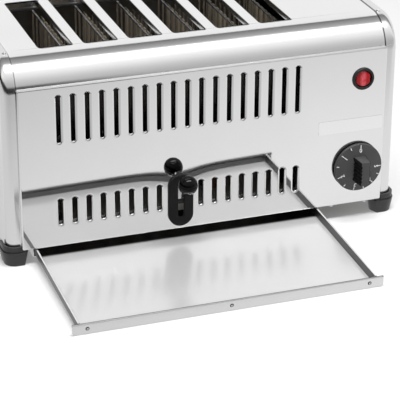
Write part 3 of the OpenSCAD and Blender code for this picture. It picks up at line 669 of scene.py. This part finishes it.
def endCap(name, turn, facing):
    low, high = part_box(name)
    wide = (high.x - low.x) / mm
    deep = (high.y - low.y) / mm
    tall = (high.z - low.z) / mm
    reach = max(abs(low.x), abs(high.x)) / mm
    f = cap["drawRadius"]
    turns = [math.pi / 2 * k / cap["drawSteps"] for k in range(cap["drawSteps"] + 1)]
    stages = [(0.0, reach - wide)] + [(f * (math.cos(t) - 1), reach - f + f * math.sin(t)) for t in turns]
    stages.append((-f - cap["flatMargin"], reach))
    bm = bmesh.new()
    fillFlat(bm, sweep(bm, deep, 2 * tall, cap["edgeRadius"], stages, steps=cap["cornerSteps"])[1])
    bmesh.ops.bisect_plane(bm, geom=bm.verts[:] + bm.edges[:] + bm.faces[:], plane_co=(0, 0, 0),
                           plane_no=(0, 1, 0), clear_inner=True)
    upright = Matrix(((0, 0, 1, 0), (1, 0, 0, 0), (0, 1, 0, 0), (0, 0, 0, 1)))
    spot = Matrix.Translation((0, (low.y + high.y) / 2, low.z)) @ Matrix.Rotation(turn, 4, "Z") @ upright
    newPiece(name, bm, spot @ Matrix.Scale(mm, 4), drawnCap, "chassis", [name], facing, sheetWall)


endCap("right_end_cap", 0.0, (1, 0, 0))
endCap("left_end_cap", math.pi, (-1, 0, 0))
print("end caps ready")

# crumb tray, drawn level and then laid on its slope
tray = {"wallHigh": 10, "hem": 2.4, "hemHigh": 7, "foldRound": 1.05, "frontHigh": 11.4, "frontThick": 1.2,
        "roll": 1.4, "cornerCut": 2.5, "rivetWide": 4, "rivetHigh": 0.8, "rivetIn": 15, "frontOver": 6,
        "out": 157, "long": 197, "headGap": 0.6, "floorUp": 1.0, "wall": 0.95, "frontGap": 0.2,
        "frontWallDrop": 4.2, "backWallDrop": 1.2, "frontEdge": 0.2, "upright": 0.7, "rollFacing": 0.5,
        "rivetFront": 0.9}
slideAxis = next(j for j in frame["joints"] if j["name"] == "tray_slide")["axis"]
traySlope = math.atan2(slideAxis[2], slideAxis[1])
trayTop = panelLow.z - tray["headGap"] * mm
traySpot = (Matrix.Translation((rowX, faceY, trayTop)) @ Matrix.Rotation(traySlope, 4, "X")
            @ Matrix.Scale(mm, 4))
frontSpot = traySpot @ Matrix.Translation((0, -tray["out"], 0)) @ Matrix.Rotation(math.pi / 2, 4, "X")
trayWide = (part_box("tray_front")[1].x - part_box("tray_front")[0].x) / mm - 2 * tray["frontOver"]


def crumbTray():
    half = trayWide / 2
    inner = half - tray["hem"]
    floorZ = tray["floorUp"] - tray["wallHigh"]
    front = 2 * tray["roll"] + tray["frontGap"] - tray["out"]
    back = tray["long"] - tray["out"]
    section = [(half, -tray["hemHigh"]), (half, 0), (inner, 0), (inner, floorZ),
               (-inner, floorZ), (-inner, 0), (-half, 0), (-half, -tray["hemHigh"])]
    bm = bmesh.new()
    verts = [bm.verts.new((x, front, z)) for x, z in section]
    edges = [bm.edges.new(pair) for pair in zip(verts, verts[1:])]
    pull(bm, edges, (0, back - front, 0))
    folds = [e for e in bm.edges if len(e.link_faces) == 2]
    bmesh.ops.bevel(bm, geom=folds, offset=tray["foldRound"], segments=4, profile=0.5, affect="EDGES",
                    material=-1, clamp_overlap=True)

    def floorEdges(y):
        return [e for e in bm.edges if len(e.link_faces) == 1
                and all(abs(v.co.y - y) < 1e-3 and abs(v.co.z - floorZ) < 1e-3 for v in e.verts)]
    pull(bm, floorEdges(front), (0, 0, tray["wallHigh"] - tray["frontWallDrop"]))
    pull(bm, floorEdges(back), (0, 0, tray["wallHigh"] - tray["backWallDrop"]))
    # painted shade on the tray's walls
    newPiece("crumb_tray", bm, traySpot, traySheet, "tray", ["crumb_tray"], (0, 0, 1), tray["wall"],
             second=(trayShadedSide, lambda f: max(abs(f.normal.x), f.normal.y) > tray["upright"]))


def trayFront():
    half = trayWide / 2 + tray["frontOver"]
    bm = bmesh.new()
    drop = tray["frontHigh"] - tray["roll"]
    edges = ring(bm, 2 * half, drop, 1.0, at=(0, -tray["roll"] - drop / 2), steps=1)
    lower = list({v for e in edges for v in e.verts if v.co.y < -tray["roll"] - 1})
    bmesh.ops.bevel(bm, geom=lower, offset=tray["cornerCut"], segments=1, profile=0.5, affect="VERTICES",
                    material=-1)
    plate = bmesh.ops.contextual_create(bm, geom=bm.edges[:])["faces"]
    made = bmesh.ops.extrude_face_region(bm, geom=plate)["geom"]
    bmesh.ops.translate(bm, verts=[g for g in made if isinstance(g, bmesh.types.BMVert)],
                        vec=(0, 0, -tray["frontThick"]))
    bmesh.ops.bevel(bm, geom=bm.edges[:], offset=tray["frontEdge"], segments=2, profile=0.5, affect="EDGES",
                    material=-1)
    part = bmesh.new()
    bmesh.ops.create_cone(part, cap_ends=True, segments=20, radius1=tray["roll"], radius2=tray["roll"],
                          depth=2 * half)
    join(bm, part, Matrix.Translation((0, -tray["roll"], -tray["roll"])) @ Matrix.Rotation(math.pi / 2, 4, "Y"))
    # painted shade on the back and the roll of the tray's front
    newPiece("tray_front", bm, frontSpot, frontPlateSheet, "tray", ["tray_front"], sharp=50,
             second=(trayShadedSide, lambda f: max(f.normal.y, f.normal.z) > tray["rollFacing"]))


# pop rivets with a hollow middle; painted shade: the faces that don't look straight out take the shadowed steel
def trayRivets():
    r, h = tray["rivetWide"] / 2, tray["rivetHigh"]
    across = trayWide / 2 + tray["frontOver"] - tray["rivetIn"]
    profile = [(0, 0.25), (0.7, 0.25), (0.85, h - 0.05), (1.2, h), (1.7, 0.6 * h), (r, 0.0), (1, -2.5), (0, -2.5)]
    bm = bmesh.new()
    for k in (-1, 0, 1):
        join(bm, lathe(profile, 20), Matrix.Translation((k * across, -tray["frontHigh"] / 2, 0)))
    newPiece("tray_rivets", bm, frontSpot, brightFinish, "tray", ["tray_rivets"],
             second=(darkFinish, lambda f: f.normal.y > -tray["rivetFront"]))


crumbTray()
trayFront()
trayRivets()
print("tray ready")

# lever: cover plate with its slot, ball, and the bar from the frame with broken edges
lever = {"plateWide": 26.6, "plateHigh": 58, "plateThick": 3, "slotWide": 6.6, "slotHigh": 38.5,
         "edge": 0.8, "ball": 20.2, "flat": 2.4, "lean": 29.8, "boreShare": 0.45, "boreDeep": 5,
         "armEdge": 0.3, "darkFrom": 1, "darkBelow": 3}


def leverPlate():
    bm = bmesh.new()
    t, e = lever["plateThick"], lever["edge"]
    turns = [math.pi / 2 * k / 4 for k in range(5)]
    rim = [(0.0, 0.0)] + [(-e * (1 - math.cos(a)), t - e + e * math.sin(a)) for a in turns]
    back, face = sweep(bm, lever["plateWide"], lever["plateHigh"], lever["plateWide"] / 2, rim, steps=14)
    hole = [(e * (1 - math.cos(a)), t - e + e * math.sin(a)) for a in reversed(turns)] + [(0.0, 0.0)]
    mouth, inner = sweep(bm, lever["slotWide"], lever["slotHigh"], lever["slotWide"] / 2, hole, steps=10)
    fillFlat(bm, face + mouth)
    fillFlat(bm, back + inner)
    newPiece("lever_plate", bm, onFront(faceY, plateAt.x, plateAt.z), plateBlack, "chassis",
             ["lever_plate"])


def ballKnob():
    low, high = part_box("ball_knob")
    r = lever["ball"] / 2
    bm = bmesh.new()
    bmesh.ops.create_uvsphere(bm, u_segments=40, v_segments=24, radius=r)
    cut = bmesh.ops.bisect_plane(bm, geom=bm.verts[:] + bm.edges[:] + bm.faces[:],
                                 plane_co=(0, 0, lever["flat"] - r), plane_no=(0, 0, 1), clear_inner=True)
    rim = [g for g in cut["geom_cut"] if isinstance(g, bmesh.types.BMEdge)]
    inner = pull(bm, rim)
    verts = list({v for e in inner for v in e.verts})
    bmesh.ops.scale(bm, vec=(lever["boreShare"], lever["boreShare"], 1), verts=verts)
    deeper = pull(bm, inner, (0, 0, lever["boreDeep"]))
    bmesh.ops.contextual_create(bm, geom=deeper)
    at = Vector(((low.x + high.x) / 2, low.y + r * mm, high.z - r * mm))
    spot = Matrix.Translation(at) @ Matrix.Rotation(math.radians(90 - lever["lean"]), 4, "X")
    newPiece("ball_knob", bm, spot @ Matrix.Scale(mm, 4), blackGloss, "carriage", ["ball_knob"],
             sharp=60)


# a copy of a frame node with its edges rounded
def softened(node, radius, finish, body, segments=2, second=None):
    bm = bmesh.new()
    bm.from_mesh(frame["nodes"][node].data)
    bmesh.ops.remove_doubles(bm, verts=bm.verts, dist=0.005 * mm)
    bmesh.ops.dissolve_limit(bm, angle_limit=math.radians(0.5), verts=bm.verts[:], edges=bm.edges[:])
    hard = [e for e in bm.edges if e.is_manifold and e.calc_face_angle() > math.radians(35)]
    bmesh.ops.bevel(bm, geom=hard, offset=radius * mm, segments=segments, profile=0.5, affect="EDGES",
                    material=-1, clamp_overlap=True)
    newPiece(node, bm, Matrix.Identity(4), finish, body, [node], second=second)


# the part of the lever's bar that lies in the casing's shade
def armInside(f):
    at = f.calc_center_median()
    return at.y > faceY - lever["darkFrom"] * mm and at.z < plateAt.z - lever["darkBelow"] * mm


leverPlate()
ballKnob()
softened("lever_arm", lever["armEdge"], leverSteel, "carriage", second=(darkFinish, armInside))
print("lever ready")

# timer dial with a bar grip, and its printed marks
dial = {"wide": 53.5, "gap": 2, "rim": 3.4, "rise": 3.2, "hub": 14.25, "gripWide": 10.6, "gripFoot": 14.6,
        "gripLong": 26.5, "gripReach": 19, "gripCorner": 0.9, "gripEdge": 0.5, "gripSunk": 2, "gripFacing": 0.2,
        "scallops": 5, "scallopDeep": 0.8, "scallopHalf": 1.25, "scallopsIn": 6.5, "sideCuts": 71,
        "markHigh": 4.2, "capShare": 0.7, "printHalf": 0.08, "printBold": 0.1, "printLift": 0.04,
        "numeralAt": 19.6, "tickAt": (22.3, 25.6), "halfTickAt": (22.8, 25.6), "tickWide": 0.8,
        "marksAt": (86, 113, 141, 171, 202, 230, 259, 285, 311, 336, 358)}
dialSpot = onFront(faceY, dialAt.x, dialAt.z)
dialRim = dial["gap"] + dial["rim"]
dialFall = math.atan2(dial["rise"] / 2, dial["wide"] / 2 - 1 - dial["hub"])


def timerDial():
    r, g, h = dial["wide"] / 2, dial["gap"], dial["hub"]
    top = dialRim + dial["rise"]
    rim = [(r - 0.4, g), (r, g + 0.4), (r, dialRim - 0.9), (r - 0.3, dialRim - 0.3), (r - 1, dialRim)]
    hub = [(h + 0.8, dialRim + 1.5), (h - 0.3, dialRim + 1.8), (h - 2.2, top - 0.4), (h - 3.3, top)]
    bm = lathe([(0, g)] + rim + hub + [(0, top)], 64)
    join(bm, dialGrip(top - dial["gripSunk"], dialRim + dial["gripReach"]), Matrix.Identity(4))

    def gripSide(f):
        return abs(f.normal.x) > dial["gripFacing"] and f.calc_center_median().y < faceY - (top + 1) * mm
    # painted shade on the grip's sides
    newPiece("timer_dial", bm, dialSpot, dialPlastic, "dial", ["timer_dial"], sharp=40,
             second=(gripShadedSide, gripSide))


# a bar with round hollows down both sides, wider at its foot
def dialGrip(low, high):
    bm = bmesh.new()
    edges = ring(bm, dial["gripWide"], dial["gripLong"], dial["gripCorner"], low, steps=5)
    sides = [e for e in edges if abs(e.verts[0].co.y - e.verts[1].co.y) > dial["gripLong"] / 2]
    bmesh.ops.subdivide_edges(bm, edges=sides, cuts=dial["sideCuts"])
    pitch = dial["gripLong"] / dial["scallopsIn"]
    for v in bm.verts:
        nearest = round(v.co.y / pitch)
        off = (v.co.y - nearest * pitch) / dial["scallopHalf"]
        if abs(nearest) <= dial["scallops"] // 2 and abs(off) < 1:
            v.co.x -= math.copysign(dial["scallopDeep"] * math.sqrt(1 - off * off), v.co.x)
    foot = bmesh.ops.contextual_create(bm, geom=bm.edges[:])["faces"]
    made = bmesh.ops.extrude_face_region(bm, geom=foot)["geom"]
    bmesh.ops.translate(bm, verts=[g for g in made if isinstance(g, bmesh.types.BMVert)], vec=(0, 0, high - low))
    bottom = [v for v in bm.verts if v.co.z < low + 0.1]
    bmesh.ops.scale(bm, vec=(dial["gripFoot"] / dial["gripWide"], 1, 1), verts=bottom)
    crown = [e for e in bm.edges if all(v.co.z > high - 0.1 for v in e.verts)]
    bmesh.ops.bevel(bm, geom=crown, offset=dial["gripEdge"], segments=2, profile=0.5, affect="EDGES", material=-1)
    return bm


def numeral(text, high):
    curve = bpy.data.curves.new("numeral", "FONT")
    curve.body = text
    curve.size = high / dial["capShare"]
    curve.align_x = "CENTER"
    curve.align_y = "CENTER"
    curve.extrude = dial["printHalf"]
    curve.offset = dial["printBold"]
    holder = bpy.data.objects.new("numeral", curve)
    scene.collection.objects.link(holder)
    bpy.context.view_layer.update()
    mesh = bpy.data.meshes.new_from_object(holder.evaluated_get(bpy.context.evaluated_depsgraph_get()))
    part = bmesh.new()
    part.from_mesh(mesh)
    bpy.data.objects.remove(holder)
    bpy.data.curves.remove(curve)
    bpy.data.meshes.remove(mesh)
    return part


def dialMarks():
    bm = bmesh.new()

    def onFace(radius, angle):
        lift = dialRim + (dial["wide"] / 2 - 1 - radius) * math.tan(dialFall) + dial["printLift"]
        return (Matrix.Rotation(math.radians(angle - 90), 4, "Z") @ Matrix.Translation((0, radius, lift))
                @ Matrix.Rotation(-dialFall, 4, "X"))
    for k, angle in enumerate(dial["marksAt"]):
        start, end = dial["halfTickAt"] if k % 2 else dial["tickAt"]
        part = bmesh.new()
        bmesh.ops.create_cube(part, size=1)
        bmesh.ops.scale(part, vec=(dial["tickWide"], end - start, 2 * dial["printHalf"]), verts=part.verts)
        join(bm, part, onFace((start + end) / 2, angle))
        if k % 2 == 0:
            join(bm, numeral(str(k // 2), dial["markHigh"]), onFace(dial["numeralAt"], angle))
    newPiece("dial_marks", bm, dialSpot, markFinish, "dial")


timerDial()
dialMarks()
print("dial ready")

# round rocker switch
switch = {"bezel": 24.2, "bezelHigh": 2.2, "pocket": 18.6, "body": 20, "deep": 22, "rocker": 16.6,
          "half": 7.4, "pivotDeep": 1.5, "swing": 18, "crown": 1.6, "pocketDeep": 8.5, "rockerDeep": 3.0,
          "rockerEdge": 0.45}
housingAt = middle("switch_housing")
switchSpot = onFront(faceY, housingAt.x, housingAt.z)


def switchHousing():
    r, p, b = switch["bezel"] / 2, switch["pocket"] / 2, switch["body"] / 2
    h = switch["bezelHigh"]
    pocket = [(0, -switch["pocketDeep"]), (p, -switch["pocketDeep"])]
    bezel = [(p, h - 0.7), (p + 0.2, h - 0.2), (p + 0.7, h), (r - 1.1, h), (r - 0.4, h - 0.3), (r, h - 1), (r, 0)]
    body = [(b, 0), (b, -switch["deep"]), (0, -switch["deep"])]
    bm = lathe(pocket + bezel + body, 48)
    newPiece("switch_housing", bm, switchSpot, blackPlastic, "chassis", ["switch_housing"])


def switchRocker():
    r = switch["rocker"] / 2
    half = math.radians(switch["swing"] / 2)
    bm = bmesh.new()
    bmesh.ops.create_circle(bm, cap_ends=True, segments=48, radius=r)
    for x, drop in ((-switch["half"], True), (0, False), (switch["half"], False)):
        bmesh.ops.bisect_plane(bm, geom=bm.verts[:] + bm.edges[:] + bm.faces[:], plane_co=(x, 0, 0),
                               plane_no=(1, 0, 0), clear_inner=drop, clear_outer=x > 0)
    made = bmesh.ops.extrude_face_region(bm, geom=bm.faces[:])["geom"]
    for v in (g for g in made if isinstance(g, bmesh.types.BMVert)):
        v.co.z = switch["crown"] + abs(v.co.x) * math.tan(half)
    for v in bm.verts:
        if abs(v.co.z) < 1e-5:
            v.co.z = -switch["rockerDeep"]
    crown = [e for e in bm.edges if all(v.co.z > 0 for v in e.verts) and e.is_manifold]
    bmesh.ops.bevel(bm, geom=crown, offset=switch["rockerEdge"], segments=3, profile=0.5, affect="EDGES",
                    material=-1)
    tilt = Matrix.Translation((0, 0, -switch["pivotDeep"])) @ Matrix.Rotation(-half, 4, "Y")
    newPiece("switch_rocker", bm, switchSpot @ tilt, lensFinish, "rocker", ["switch_rocker"])


switchHousing()
switchRocker()
print("switch ready")

# feet and cord gland, from the frame with rounded edges
rounded = {"foot": 0.5, "footSegments": 3, "gland": 0.4}
for corner in ("front_left", "front_right", "rear_left", "rear_right"):
    softened(corner + "_foot", rounded["foot"], footPlastic, "chassis", rounded["footSegments"])
softened("cable_gland", rounded["gland"], blackPlastic, "chassis")
print("feet ready")

# small pan-head screws with a round socket, and the blank plate above the dial
screw = {"profile": [(0, 0.35), (0.42, 0.35), (0.5, 0.95), (0.72, 1.0), (0.93, 0.6), (1.0, 0.0)],
         "panel_screws": {"wide": 5.0, "deep": 1.6, "fromRight": (56, 17.5)},
         "cap_screws": {"wide": 4.0, "deep": 0.8}}
plate = {"left": 123.3, "right": 195.3, "low": 100.8, "high": 115.4, "thick": 0.25, "corner": 0.8, "lift": 0.02}


def screwHeads(name, downwards):
    low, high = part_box(name)
    wide, deep = screw[name]["wide"], screw[name]["deep"]
    inset = wide / 2 * mm
    bm = bmesh.new()
    xs = (low.x + inset, high.x - inset)
    if downwards:
        xs = [panelHigh.x - d * mm for d in screw[name]["fromRight"]]
    for x in xs:
        for y in (low.y + inset, high.y - inset):
            part = lathe([(r * wide / 2, z * deep) for r, z in screw["profile"]] + [(0, 0)], 20)
            turn = Matrix.Rotation(math.pi, 4, "X") if downwards else Matrix.Identity(4)
            z = low.z + deep * mm if downwards else high.z - deep * mm
            join(bm, part, Matrix.Translation((x, y, z)) @ turn @ Matrix.Scale(mm, 4))
    newPiece(name, bm, Matrix.Identity(4), brightFinish, "chassis", [name])


def blankPlate():
    bm = bmesh.new()
    wide, tall = plate["right"] - plate["left"], plate["high"] - plate["low"]
    at = ((plate["left"] + plate["right"]) / 2, (plate["low"] + plate["high"]) / 2)
    back, face = sweep(bm, wide, tall, plate["corner"], [(0, plate["lift"]), (0, plate["thick"])], at)
    fillFlat(bm, face)
    fillFlat(bm, back)
    newPiece("blank_plate", bm, onFront(faceY), labelFinish, "chassis")


# return springs: a wire wound round its rod, drawn at one length; on the toaster it closes up as the lever goes
# down
spring = {"wide": 8.6, "wire": 1.2, "wireSides": 8, "turns": 10, "stepsPerTurn": 18, "keep": 0.524}


def returnSpring(name):
    low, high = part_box(name)
    at = middle(name)
    rise = (high.z - low.z) / mm - spring["wire"]
    steps = spring["turns"] * spring["stepsPerTurn"]
    bm = bmesh.new()
    verts = bmesh.ops.create_circle(bm, segments=spring["wireSides"], radius=spring["wire"] / 2)["verts"]
    bmesh.ops.rotate(bm, verts=verts, matrix=Matrix.Rotation(math.pi / 2, 3, "X"))
    bmesh.ops.translate(bm, verts=verts, vec=(spring["wide"] / 2, 0, spring["wire"] / 2))
    first = bm.edges[:]
    last = bmesh.ops.spin(bm, geom=verts + first, cent=(0, 0, 0), axis=(0, 0, 1), steps=steps,
                          angle=2 * math.pi * spring["turns"], dvec=(0, 0, rise / steps))["geom_last"]
    bmesh.ops.contextual_create(bm, geom=first)
    bmesh.ops.contextual_create(bm, geom=[g for g in last if isinstance(g, bmesh.types.BMEdge)])
    foot = Vector((at.x, at.y, low.z))
    spot = Matrix.Translation(foot) @ Matrix.Scale(mm, 4)
    piece = newPiece(name, bm, spot, brightFinish, "chassis", [name])
    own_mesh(piece)


returnSpring("left_spring")
returnSpring("right_spring")
screwHeads("panel_screws", True)
screwHeads("cap_screws", False)
blankPlate()
print("small parts ready")

# finishes of the nodes that keep the frame's own shape
inside = {
    "inner": ["base_plate", "left_chamber_wall", "right_chamber_wall", "front_chamber_wall", "rear_chamber_wall",
              "armature"] + [f"bread_rack_{i}" for i in range(1, 7)],
    "bright": ["left_tray_runner", "right_tray_runner", "left_guide_rod", "right_guide_rod",
               "timer_shaft"] + [f"bread_guard_{i}" for i in range(1, 7)],
    "mica": [f"heating_card_{i}" for i in range(1, 8)],
    "coil": ["hold_magnet"],
    "pale": ["timer_case", "terminal_block"],
    "black": ["gland_nut"],
    # painted shade: the carriage plate, seen through the lever's slot, takes the shadowed steel
    "dark": ["carriage_plate"],
}
finishOf = {"inner": innerFinish, "bright": brightFinish, "mica": micaFinish, "coil": coilFinish,
            "pale": paleFinish, "black": blackPlastic, "dark": darkFinish}
for kind, names in inside.items():
    for name in names:
        node = frame["nodes"][name]
        if not node.material_slots:
            node.data.materials.append(None)
        for holder in node.material_slots:
            holder.material = finishOf[kind]
print("inside ready")
